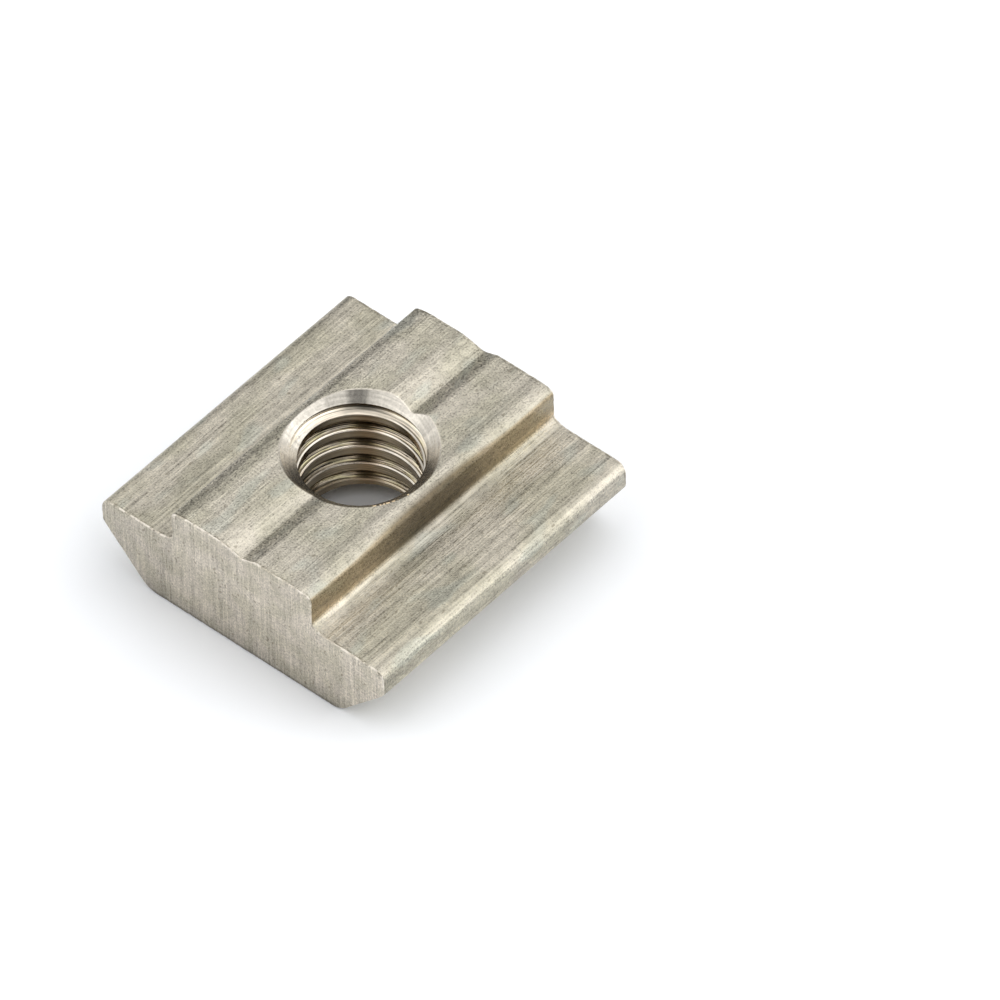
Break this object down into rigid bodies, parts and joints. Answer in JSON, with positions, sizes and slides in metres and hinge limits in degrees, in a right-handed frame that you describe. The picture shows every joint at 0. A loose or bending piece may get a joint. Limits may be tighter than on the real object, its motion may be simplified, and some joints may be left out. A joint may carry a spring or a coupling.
{
  "type": "slide-in t-nut",
  "caption": "Steel T-nut that slides into an aluminium profile's slot from its end and takes a bolt through its tapped hole.",
  "frame": {"origin": "on the foot face, in the middle of the sawn length and of the width over the wings", "axes": "+X across the slot, +Y along the slot, +Z along the tapped hole from the foot to the boss"},
  "size_m": [0.0196, 0.0194, 0.0073],
  "materials": {
    "steel": "satin drawn skin with sawn ends, bright countersink and thread"
  },
  "bodies": {
    "root": {"t_nut": "steel"}
  },
  "joints": []
}
